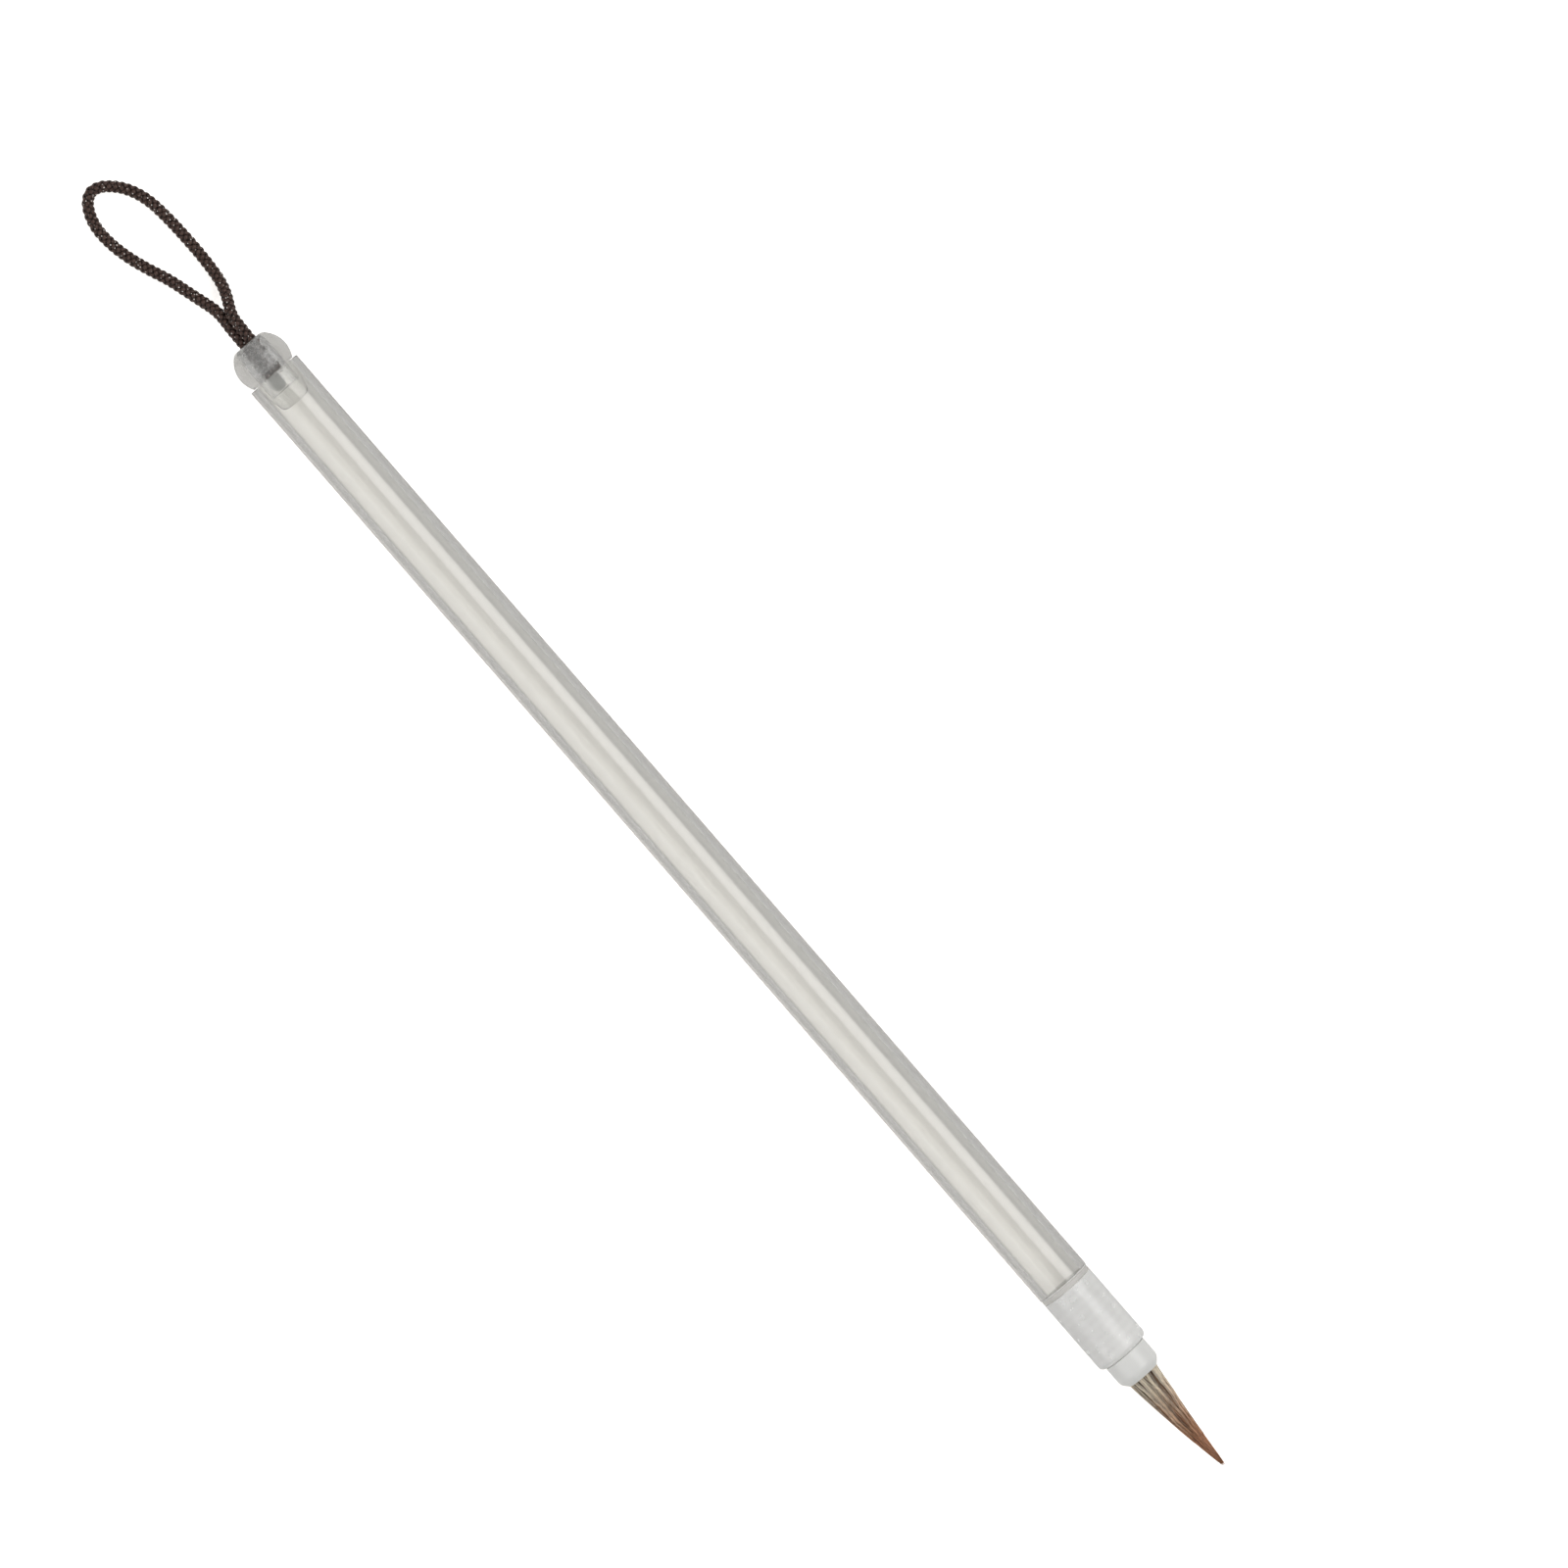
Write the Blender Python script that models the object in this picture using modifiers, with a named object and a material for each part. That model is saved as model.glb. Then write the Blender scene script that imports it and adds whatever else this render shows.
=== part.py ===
"""A refillable brush pen: clear barrel, screw-on brush head, and a ball-ended tail plug on a cord loop.

The pen lies along X, tip at +X, on the flat that its barrel turns down to z = 0. Units are metres.
"""

import math

import bmesh
import bpy
from mathutils import Vector

MM = 0.001

# Driving dimensions. "Shown" is the length of a piece that its neighbour doesn't cover.
TURN_STEPS = 24  # flats round every turned piece; one of them faces straight down
GAP = 0.1 * MM  # clearance between pieces that touch or run on each other
EDGE = 0.2 * MM  # broken edge of a moulded piece

BARREL_RADIUS = 5.0 * MM
BORE_RADIUS = 3.65 * MM
BARREL_LENGTH = 200.0 * MM  # tail rim to front shoulder
FUNNEL_LENGTH = 0.5 * MM  # the bore narrows to the neck just behind the shoulder

NECK_RADIUS = 3.65 * MM
NECK_BORE_RADIUS = 2.7 * MM
NECK_LENGTH = 9.0 * MM

THREAD_PITCH = 1.4 * MM
THREAD_HEIGHT = 0.45 * MM
THREAD_ROOT_WIDTH = 0.95 * MM
THREAD_CREST_WIDTH = 0.35 * MM
NECK_THREAD_TURNS = 4
SLEEVE_THREAD_TURNS = 9
THREAD_START = 0.6 * MM  # centre of the sleeve's first turn, from the sleeve's back
THREAD_CLEARANCE = 0.15 * MM
THREAD_SINK = 0.1 * MM  # how far a ridge is let into the wall that it joins

SEAL_THICKNESS = 0.7 * MM
SEAL_OUTER_RADIUS = 4.75 * MM

SLEEVE_RADIUS = 4.92 * MM
SLEEVE_LENGTH = 14.5 * MM
SLEEVE_SOCKET_DEPTH = 13.75 * MM  # threaded from the back; the neck fills the half behind, the cup the rest
SLEEVE_FRONT_ROUND = 0.95 * MM

CUP_RADIUS = 4.05 * MM
CUP_SHOWN = 4.9 * MM
CUP_NOSE_LENGTH = 1.7 * MM  # bevelled at 45 degrees, rounded into the side
CUP_NOSE_ROUND = 1.45 * MM
CUP_SPIGOT_LENGTH = 5.7 * MM  # pressed into the front turns of the sleeve's thread
CUP_BORE_RADIUS = 2.95 * MM
CUP_FLOOR = 2.3 * MM
CUP_INK_HOLE_RADIUS = 1.1 * MM

FEED_RIM_RADIUS = 3.3 * MM
FEED_RIM_THICKNESS = 0.4 * MM
FEED_LENGTH = 8.0 * MM
FEED_VENT_WIDTH = 0.6 * MM
FEED_VENT_DEPTH = 0.5 * MM
WICK_RADIUS = 0.85 * MM
WICK_TAIL = 0.6 * MM  # how far the wick reaches out of the feed into the ink

RESIN_THICKNESS = 1.0 * MM
TUFT_SHOWN = 20.1 * MM
TUFT_RADIUS = 2.85 * MM  # at the mouth of the cup
TUFT_TIP_RADIUS = 0.2 * MM
TUFT_TAPER = 0.9  # radius grows as this power of the distance from the tip
TUFT_ROOT_RADIUS = 2.2 * MM
CORE_RADIUS = 1.2 * MM
COVER_END = 9.0 * MM  # the core has its full width up to this far from the tip
COVER_STEP = 0.5 * MM  # then it narrows this fast to the rod inside the cover
TUFT_FLARE_LENGTH = 1.5 * MM  # from the bound root to full width inside the cup
BINDING_THREAD = 0.45 * MM
BINDING_TURNS = 3

BALL_RADIUS = 4.95 * MM
BALL_OFFSET = 2.7 * MM  # ball centre to barrel rim
BALL_TOP_ANGLE = -47  # degrees round the ball where it turns in to its flat top
BALL_FLAT_RADIUS = 2.5 * MM
PLUG_SHOWN = 6.7 * MM  # barrel rim to the ball's flat top
STEM_LENGTH = 6.1 * MM
STEM_SEAL_LENGTH = 2.4 * MM  # the part that fills the bore; beyond it the stem tapers
STEM_END_RADIUS = 2.9 * MM
STEM_END_ROUND = 1.2 * MM
POCKET_RADIUS = 1.95 * MM
POCKET_DEPTH = 9.8 * MM

CORD_RADIUS = 0.85 * MM
CORD_POINT_SPACING = 2.2 * MM
BEAD_RADIUS = 1.3 * MM
BEAD_LENGTH = 2.2 * MM
BEAD_OFFSET = 0.5 * MM  # the bead lies to one side of the pocket

# Stations along X, from the tip of the hair back to the flat top of the ball
LENGTH = (
    TUFT_SHOWN
    + CUP_SHOWN
    + SLEEVE_LENGTH
    + SEAL_THICKNESS
    + 2 * GAP
    + BARREL_LENGTH
    + PLUG_SHOWN
)
TIP = LENGTH / 2
CUP_MOUTH = TIP - TUFT_SHOWN
SLEEVE_FRONT = CUP_MOUTH - CUP_SHOWN
SLEEVE_BACK = SLEEVE_FRONT - SLEEVE_LENGTH
SHOULDER = SLEEVE_BACK - SEAL_THICKNESS - 2 * GAP
RIM = SHOULDER - BARREL_LENGTH
BALL_TOP = RIM - PLUG_SHOWN
NECK_END = SHOULDER + NECK_LENGTH
CUP_BACK = SLEEVE_FRONT - CUP_SPIGOT_LENGTH
TUFT_ROOT = CUP_BACK + CUP_FLOOR + RESIN_THICKNESS + 2 * GAP
AXIS_HEIGHT = BARREL_RADIUS * math.cos(math.pi / TURN_STEPS)

# The cord's centre line: millimetres beyond the ball's top, across the pen, and above z = 0. It starts in
# the ball's pocket, runs out, down and round on the surface, and comes back beside itself.
CORD_ROUTE = [
    (-7.1, 0.7, 5.5),
    (-3.5, 0.7, 5.5),
    (0.2, 0.85, 5.5),
    (2.6, 0.95, 5.35),
    (4.7, 1.1, 4.9),
    (6.2, 1.6, 4.2),
    (8.0, 2.5, 3.1),
    (10.0, 3.2, 2.0),
    (12.6, 3.6, 1.2),
    (16.4, 3.8, 0.9),
    (20.6, 3.8, 0.88),
    (24.4, 3.65, 0.88),
    (27.8, 3.3, 0.88),
    (30.4, 2.6, 0.88),
    (32.6, 1.5, 0.88),
    (34.3, 0.1, 0.88),
    (35.5, -1.5, 0.88),
    (35.8, -3.2, 0.88),
    (34.8, -4.7, 0.88),
    (32.8, -5.8, 0.88),
    (30.2, -6.35, 0.88),
    (27.0, -6.2, 0.88),
    (23.6, -5.5, 0.88),
    (20.0, -4.3, 0.88),
    (16.4, -2.9, 0.95),
    (13.0, -1.9, 1.1),
    (10.2, -1.1, 1.6),
    (7.8, -0.45, 2.5),
    (5.8, -0.3, 3.3),
    (3.4, -0.45, 4.0),
    (0.2, -0.5, 4.4),
    (-3.5, -0.7, 4.4),
    (-7.1, -0.7, 4.4),
]


def start_scene():
    """Empties the scene and returns collections for the pen's pieces and for the shapes that form them."""
    for obj in list(bpy.data.objects):
        bpy.data.objects.remove(obj, do_unlink=True)
    made = []
    for name in ("brush_pen", "forming_shapes"):
        collection = bpy.data.collections.new(name)
        bpy.context.scene.collection.children.link(collection)
        made.append(collection)
    return made


def finish(name, color, roughness, transmission=0.0):
    """A Principled material; color is linear red, green, blue."""
    material = bpy.data.materials.new(name)
    material.use_nodes = True
    shader = material.node_tree.nodes["Principled BSDF"]
    shader.inputs["Base Color"].default_value = (*color, 1.0)
    shader.inputs["Roughness"].default_value = roughness
    shader.inputs["Metallic"].default_value = 0.0
    shader.inputs["Transmission Weight"].default_value = transmission
    return material


def arc(radius_at, z_at, size, start, end, steps=4):
    """Points (radius, z) on an arc about (radius_at, z_at), from start to end degrees."""
    points = []
    for i in range(steps + 1):
        angle = math.radians(start + (end - start) * i / steps)
        points.append((radius_at + size * math.cos(angle), z_at + size * math.sin(angle)))
    return points


def turned(name, profile, station, material, closed=True):
    """A turned piece. Its profile is (radius, z) from the front down the outside, with z from station."""
    mesh = bpy.data.meshes.new(name)
    count = len(profile)
    edges = [(i, i + 1) for i in range(count - 1)]
    if closed:
        edges.append((count - 1, 0))
    mesh.from_pydata([(radius, 0.0, z) for radius, z in profile], edges, [])
    mesh.materials.append(material)
    obj = bpy.data.objects.new(name, mesh)
    pieces.objects.link(obj)
    obj.parent = pen_axis
    obj.location = (0.0, 0.0, station)
    screw = obj.modifiers.new("turned", "SCREW")
    screw.axis = "Z"
    screw.steps = TURN_STEPS
    screw.render_steps = TURN_STEPS
    screw.use_merge_vertices = True
    screw.merge_threshold = 0.001 * MM
    screw.use_smooth_shade = True
    return obj


def joined(obj, other, operation="UNION"):
    """Applies a hidden shape to a piece."""
    boolean = obj.modifiers.new(other.name, "BOOLEAN")
    boolean.operation = operation
    boolean.object = other


def hidden(obj):
    """Keeps a forming shape out of the finished pen."""
    forming.objects.link(obj)
    obj.parent = pen_axis
    obj.hide_render = True
    obj.display_type = "WIRE"
    return obj


def thread_ridge(name, root_radius, crest_radius, start, turns):
    """A right-hand thread ridge: a trapezoid swept up the axis, its root sunk into the wall it joins."""
    sunk = root_radius + math.copysign(THREAD_SINK, root_radius - crest_radius)
    slope = (THREAD_ROOT_WIDTH - THREAD_CREST_WIDTH) / 2 / THREAD_HEIGHT
    half_root = THREAD_ROOT_WIDTH / 2 + THREAD_SINK * slope
    half_crest = THREAD_CREST_WIDTH / 2
    shape = bmesh.new()
    corners = [
        (sunk, -half_root),
        (crest_radius, -half_crest),
        (crest_radius, half_crest),
        (sunk, half_root),
    ]
    face = shape.faces.new([shape.verts.new((radius, 0.0, start + z)) for radius, z in corners])
    bmesh.ops.spin(
        shape,
        geom=[face, *face.edges, *face.verts],
        cent=(0.0, 0.0, 0.0),
        axis=(0.0, 0.0, 1.0),
        dvec=(0.0, 0.0, THREAD_PITCH / TURN_STEPS),
        angle=turns * math.tau,
        steps=turns * TURN_STEPS,
    )
    bmesh.ops.holes_fill(shape, edges=[edge for edge in shape.edges if edge.is_boundary])
    bmesh.ops.recalc_face_normals(shape, faces=shape.faces)
    mesh = bpy.data.meshes.new(name)
    shape.to_mesh(mesh)
    shape.free()
    return hidden(bpy.data.objects.new(name, mesh))


def tuft_radius(from_tip):
    """Radius of the dry, pointed tuft at a distance from its tip."""
    share = max(from_tip, 0.0) / TUFT_SHOWN
    return TUFT_TIP_RADIUS + (TUFT_RADIUS - TUFT_TIP_RADIUS) * share**TUFT_TAPER


def make_barrel():
    """Clear tube with a narrower threaded neck, open at both ends; the bore holds the ink."""
    front = BARREL_LENGTH + NECK_LENGTH
    profile = [
        (NECK_BORE_RADIUS, front),
        (NECK_RADIUS - EDGE, front),
        (NECK_RADIUS, front - EDGE),
        (NECK_RADIUS, BARREL_LENGTH),
        *arc(BARREL_RADIUS - EDGE, BARREL_LENGTH - EDGE, EDGE, 90, 0, 2),
        *arc(BARREL_RADIUS - EDGE, EDGE, EDGE, 0, -90, 2),
        (BORE_RADIUS + EDGE, 0.0),
        (BORE_RADIUS, EDGE),
        (BORE_RADIUS, BARREL_LENGTH - FUNNEL_LENGTH),
        (NECK_BORE_RADIUS, BARREL_LENGTH + EDGE),
    ]
    barrel = turned("barrel", profile, RIM, clear_plastic)
    start = SLEEVE_BACK + THREAD_START + THREAD_PITCH / 2
    ridge = thread_ridge(
        "neck_thread", NECK_RADIUS, NECK_RADIUS + THREAD_HEIGHT, start, NECK_THREAD_TURNS
    )
    joined(barrel, ridge)


def make_neck_seal():
    """Soft flat ring that the sleeve squeezes against the barrel's shoulder."""
    inner = NECK_RADIUS + GAP
    profile = [
        (inner, SEAL_THICKNESS),
        *arc(SEAL_OUTER_RADIUS - EDGE, SEAL_THICKNESS - EDGE, EDGE, 90, 0, 2),
        *arc(SEAL_OUTER_RADIUS - EDGE, EDGE, EDGE, 0, -90, 2),
        (inner, 0.0),
    ]
    turned("neck_seal", profile, SHOULDER + GAP, seal_rubber)


def make_head_sleeve():
    """Milky ferrule, threaded inside almost to the lip at its front."""
    crest_radius = NECK_RADIUS + THREAD_CLEARANCE
    socket_radius = crest_radius + THREAD_HEIGHT
    front_round = arc(
        SLEEVE_RADIUS - SLEEVE_FRONT_ROUND,
        SLEEVE_LENGTH - SLEEVE_FRONT_ROUND,
        SLEEVE_FRONT_ROUND,
        90,
        0,
    )
    profile = [
        (crest_radius, SLEEVE_LENGTH),
        *front_round,
        (SLEEVE_RADIUS, EDGE),
        (SLEEVE_RADIUS - EDGE, 0.0),
        (socket_radius + EDGE, 0.0),
        (socket_radius, EDGE),
        (socket_radius, SLEEVE_SOCKET_DEPTH),
        (crest_radius, SLEEVE_SOCKET_DEPTH),
    ]
    sleeve = turned("head_sleeve", profile, SLEEVE_BACK, milky_plastic)
    start = SLEEVE_BACK + THREAD_START
    ridge = thread_ridge(
        "sleeve_thread", socket_radius, crest_radius, start, SLEEVE_THREAD_TURNS
    )
    joined(sleeve, ridge)


def make_hair_cup():
    """White cup that holds the root of the hair; its spigot is pressed into the sleeve from the front."""
    front = CUP_MOUTH - CUP_BACK
    seat = SLEEVE_FRONT + GAP - CUP_BACK
    spigot_radius = NECK_RADIUS + THREAD_CLEARANCE - GAP
    nose_round = arc(
        CUP_RADIUS - CUP_NOSE_ROUND, front - CUP_NOSE_LENGTH, CUP_NOSE_ROUND, 45, 0
    )
    profile = [
        (CUP_BORE_RADIUS, front),
        (CUP_BORE_RADIUS + GAP, front),
        *nose_round,
        (CUP_RADIUS, seat),
        (spigot_radius, seat),
        (spigot_radius, EDGE),
        (spigot_radius - EDGE, 0.0),
        (CUP_INK_HOLE_RADIUS, 0.0),
        (CUP_INK_HOLE_RADIUS, CUP_FLOOR),
        (CUP_BORE_RADIUS, CUP_FLOOR),
    ]
    turned("hair_cup", profile, CUP_BACK, white_plastic)


def make_feed_plug():
    """Flow regulator pressed into the neck: a bore for the wick and a groove that lets air back."""
    body_radius = NECK_BORE_RADIUS - GAP
    wick_bore_radius = WICK_RADIUS + GAP
    top = FEED_LENGTH + GAP + FEED_RIM_THICKNESS
    profile = [
        (wick_bore_radius, top),
        (FEED_RIM_RADIUS, top),
        (FEED_RIM_RADIUS, FEED_LENGTH + GAP),
        (body_radius, FEED_LENGTH + GAP),
        (body_radius, EDGE),
        (body_radius - EDGE, 0.0),
        (wick_bore_radius, 0.0),
    ]
    station = NECK_END - FEED_LENGTH
    feed = turned("feed_plug", profile, station, white_plastic)
    bpy.ops.mesh.primitive_cube_add(size=1.0)
    groove = bpy.context.active_object
    for collection in groove.users_collection:
        collection.objects.unlink(groove)
    groove.name = "vent_groove"
    hidden(groove)
    outer = FEED_RIM_RADIUS + GAP
    depth_from = body_radius - FEED_VENT_DEPTH
    groove.scale = (outer - depth_from, FEED_VENT_WIDTH, top * 1.5)
    groove.location = ((outer + depth_from) / 2, 0.0, station + top / 2)
    joined(feed, groove, "DIFFERENCE")


def make_feed_wick():
    """Fibre rod that draws ink from the barrel through the feed to the root of the hair."""
    back = NECK_END - FEED_LENGTH - WICK_TAIL
    length = TUFT_ROOT - GAP - back
    profile = [
        (0.0, length),
        (WICK_RADIUS - EDGE, length),
        (WICK_RADIUS, length - EDGE),
        (WICK_RADIUS, EDGE),
        (WICK_RADIUS - EDGE, 0.0),
        (0.0, 0.0),
    ]
    turned("feed_wick", profile, back, wick_fibre, closed=False)


def make_root_resin():
    """Disc of set adhesive that fixes the hair's root to the floor of the cup, open round the wick."""
    radius = CUP_BORE_RADIUS - GAP
    profile = [
        (CUP_INK_HOLE_RADIUS, RESIN_THICKNESS),
        (radius, RESIN_THICKNESS),
        (radius, 0.0),
        (CUP_INK_HOLE_RADIUS, 0.0),
    ]
    turned("root_resin", profile, TUFT_ROOT - GAP - RESIN_THICKNESS, resin)


def make_root_binding():
    """Thread wound round the hair's root, its turns lying side by side."""
    centre_radius = TUFT_ROOT_RADIUS + GAP + BINDING_THREAD / 2
    length = BINDING_TURNS * BINDING_THREAD
    profile = [(TUFT_ROOT_RADIUS + GAP, length)]
    for turn in reversed(range(BINDING_TURNS)):
        middle = (turn + 0.5) * BINDING_THREAD
        profile += arc(centre_radius, middle, BINDING_THREAD / 2, 60, -60, 3)
    profile.append((TUFT_ROOT_RADIUS + GAP, 0.0))
    turned("root_binding", profile, TUFT_ROOT + BINDING_THREAD, binding_thread)


def make_tuft_core():
    """Stiff centre hairs: a round rod in the root that widens to the whole of the point."""
    front = TIP - TUFT_ROOT
    point = [(0.0, front)]
    steps = 6
    for i in range(1, steps + 1):
        from_tip = (COVER_END - GAP) * (i / steps) ** 1.5
        point.append((tuft_radius(from_tip), front - from_tip))
    profile = [
        *point,
        (CORE_RADIUS, front - COVER_END - COVER_STEP),
        (CORE_RADIUS, 0.0),
        (0.0, 0.0),
    ]
    turned("tuft_core", profile, TUFT_ROOT, core_hair, closed=False)


def make_tuft_cover():
    """Softer outer hairs laid round the core, bound at the root and ending short of the point."""
    front = TIP - TUFT_ROOT
    end = front - COVER_END - COVER_STEP - GAP
    inner = CORE_RADIUS + GAP
    outside = []
    steps = 6
    for i in range(steps + 1):
        from_tip = front - end + (TUFT_SHOWN - front + end) * i / steps
        outside.append((tuft_radius(from_tip), front - from_tip))
    bound = BINDING_THREAD * (BINDING_TURNS + 2)
    profile = [
        (inner, end),
        *outside,
        (TUFT_RADIUS, bound + TUFT_FLARE_LENGTH),
        (TUFT_ROOT_RADIUS, bound),
        (TUFT_ROOT_RADIUS, 0.0),
        (inner, 0.0),
    ]
    turned("tuft_cover", profile, TUFT_ROOT, cover_hair)


def make_tail_plug():
    """Clear ball and stem in one moulding; the stem stops the barrel, the pocket holds the cord's ends."""
    stem_radius = BORE_RADIUS - GAP
    cut_angle = math.degrees(math.asin((BALL_OFFSET - GAP) / BALL_RADIUS))
    stem_end = arc(
        STEM_END_RADIUS - STEM_END_ROUND, STEM_LENGTH - STEM_END_ROUND, STEM_END_ROUND, 90, 0
    )
    ball = arc(0.0, -BALL_OFFSET, BALL_RADIUS, cut_angle, BALL_TOP_ANGLE, 12)
    profile = [
        (0.0, STEM_LENGTH),
        *stem_end,
        (stem_radius, STEM_SEAL_LENGTH),
        (stem_radius, -GAP),
        *ball,
        (BALL_FLAT_RADIUS + 2 * EDGE, -PLUG_SHOWN + GAP),
        (BALL_FLAT_RADIUS, -PLUG_SHOWN),
        (POCKET_RADIUS + EDGE, -PLUG_SHOWN),
        (POCKET_RADIUS, -PLUG_SHOWN + EDGE),
        (POCKET_RADIUS, -PLUG_SHOWN + POCKET_DEPTH - EDGE),
        (POCKET_RADIUS - EDGE, -PLUG_SHOWN + POCKET_DEPTH),
        (0.0, -PLUG_SHOWN + POCKET_DEPTH),
    ]
    turned("tail_plug", profile, RIM, clear_plastic, closed=False)


def make_cord_end_bead():
    """The cord's two ends, melted into one lump at the bottom of the pocket."""
    profile = [
        (BEAD_RADIUS * math.sin(angle), BEAD_LENGTH / 2 * math.cos(angle))
        for angle in [math.pi * i / 8 for i in range(9)]
    ]
    profile[0] = (0.0, BEAD_LENGTH / 2)
    profile[-1] = (0.0, -BEAD_LENGTH / 2)
    middle = BALL_TOP + POCKET_DEPTH - 2 * GAP - BEAD_LENGTH / 2
    bead = turned("cord_end_bead", profile, middle, cord_nylon, closed=False)
    bead.location.y = -BEAD_OFFSET


def smooth_route(route, spacing):
    """Points at an even spacing on a Catmull-Rom curve through the route's own points."""
    padded = [2 * route[0] - route[1], *route, 2 * route[-1] - route[-2]]
    fine = []
    parts = 12
    for before, start, end, after in zip(padded, padded[1:], padded[2:], padded[3:]):
        for i in range(parts):
            t = i / parts
            fine.append(
                0.5
                * (
                    2 * start
                    + (end - before) * t
                    + (2 * before - 5 * start + 4 * end - after) * t**2
                    + (3 * start - before - 3 * end + after) * t**3
                )
            )
    fine.append(route[-1])
    lengths = [0.0]
    for first, second in zip(fine, fine[1:]):
        lengths.append(lengths[-1] + (second - first).length)
    count = round(lengths[-1] / spacing)
    even = []
    index = 0
    for i in range(count + 1):
        wanted = lengths[-1] * i / count
        while index < len(fine) - 2 and lengths[index + 1] < wanted:
            index += 1
        share = (wanted - lengths[index]) / (lengths[index + 1] - lengths[index])
        even.append(fine[index].lerp(fine[index + 1], share))
    return even


def make_hang_cord():
    """Braided nylon cord, both ends in the ball's pocket, lying in a loop on the surface behind the pen."""
    route = [Vector((BALL_TOP - out * MM, across * MM, up * MM)) for out, across, up in CORD_ROUTE]
    points = smooth_route(route, CORD_POINT_SPACING)
    curve = bpy.data.curves.new("hang_cord", "CURVE")
    curve.dimensions = "3D"
    curve.bevel_depth = CORD_RADIUS
    curve.bevel_resolution = 2
    curve.use_fill_caps = True
    spline = curve.splines.new("POLY")
    spline.points.add(len(points) - 1)
    for point, place in zip(spline.points, points):
        point.co = (*place, 1.0)
    curve.materials.append(cord_nylon)
    pieces.objects.link(bpy.data.objects.new("hang_cord", curve))


pieces, forming = start_scene()

# The pen's axis: its local Z runs along world X, and it is rolled half a flat so that one flat faces down.
pen_axis = bpy.data.objects.new("pen_axis", None)
pieces.objects.link(pen_axis)
pen_axis.rotation_mode = "ZYX"
pen_axis.rotation_euler = (0.0, math.pi / 2, math.pi / TURN_STEPS)
pen_axis.location = (0.0, 0.0, AXIS_HEIGHT)

clear_plastic = finish("clear_plastic", (0.78, 0.77, 0.74), 0.12, transmission=0.85)
milky_plastic = finish("milky_plastic", (0.72, 0.73, 0.73), 0.35, transmission=0.4)
white_plastic = finish("white_plastic", (0.80, 0.81, 0.81), 0.35)
seal_rubber = finish("seal_rubber", (0.35, 0.36, 0.37), 0.6)
wick_fibre = finish("wick_fibre", (0.70, 0.68, 0.62), 0.9)
resin = finish("resin", (0.45, 0.33, 0.16), 0.25)
binding_thread = finish("binding_thread", (0.60, 0.56, 0.48), 0.9)
core_hair = finish("core_hair", (0.26, 0.11, 0.05), 0.55)
cover_hair = finish("cover_hair", (0.36, 0.27, 0.19), 0.6)
cord_nylon = finish("cord_nylon", (0.045, 0.03, 0.027), 0.75)

make_barrel()
make_neck_seal()
make_feed_plug()
make_feed_wick()
make_head_sleeve()
make_hair_cup()
make_root_resin()
make_root_binding()
make_tuft_core()
make_tuft_cover()
make_tail_plug()
make_cord_end_bead()
make_hang_cord()
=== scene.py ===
"""A refillable brush pen: clear water barrel, screw-on brush head, ball tail plug and braided hanging cord.

The sections follow the pen as it is put together, from the tail to the hair. Lengths are metres in the CAD
frame: the pen's axis runs along +X towards the tip of the hair, and z = 0 is the table that it lies on.
"""

import math

import bpy
import numpy as np
from mathutils import Matrix, Vector


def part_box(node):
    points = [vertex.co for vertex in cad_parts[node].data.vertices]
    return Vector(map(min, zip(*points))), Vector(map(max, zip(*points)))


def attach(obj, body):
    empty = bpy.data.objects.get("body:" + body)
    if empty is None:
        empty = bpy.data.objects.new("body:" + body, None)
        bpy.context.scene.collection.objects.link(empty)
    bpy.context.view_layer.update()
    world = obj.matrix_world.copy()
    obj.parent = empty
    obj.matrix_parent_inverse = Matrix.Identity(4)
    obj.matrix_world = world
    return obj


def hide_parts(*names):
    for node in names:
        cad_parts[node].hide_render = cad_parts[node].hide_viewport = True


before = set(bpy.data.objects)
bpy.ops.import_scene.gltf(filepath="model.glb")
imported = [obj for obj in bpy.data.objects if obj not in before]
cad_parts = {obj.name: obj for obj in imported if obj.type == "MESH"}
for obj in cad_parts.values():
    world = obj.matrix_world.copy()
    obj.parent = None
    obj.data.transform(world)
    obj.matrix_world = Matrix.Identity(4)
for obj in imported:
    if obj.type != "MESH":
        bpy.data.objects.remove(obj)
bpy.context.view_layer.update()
MM = 0.001


def span(node):
    """Where a CAD node starts and ends along the pen."""
    low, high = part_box(node)
    return low.x, high.x


def girth(node):
    """A CAD node's outer radius, measured to its flats."""
    low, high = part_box(node)
    return (high.z - low.z) / 2


# ---------------------------------------------------------------------------------------------------------
# Camera: a long lens two metres above the table, leaning a little from the tail's side. It is turned so
# that the pen lies corner to corner with its tip at the lower right.
AXIS_TURN = math.radians(49)
eye = Vector((-0.11775, 0.0193, 2.04))
aim = Vector((-0.01015, 0.0193, 0.005))
forward = (aim - eye).normalized()
right = Vector((math.cos(AXIS_TURN), math.sin(AXIS_TURN), 0.0))
right = (right - right.dot(forward) * forward).normalized()

camera_data = bpy.data.cameras.new("camera")
camera_data.sensor_width = 36
camera_data.lens = 282
camera_data.clip_end = 20
camera = bpy.data.objects.new("camera", camera_data)
bpy.context.scene.collection.objects.link(camera)
turn = Matrix((right, right.cross(forward), -forward)).transposed()
camera.matrix_world = Matrix.Translation(eye) @ turn.to_4x4()
bpy.context.scene.camera = camera

# ---------------------------------------------------------------------------------------------------------
# Hanging cord: a round braid of dark brown nylon, 1.8 mm thick, four strands each way over and under each
# other round a soft core. Its two ends go into the tail ball, and it lies in a loop on the table.
ball_top = span("tail_plug")[0]

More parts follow.
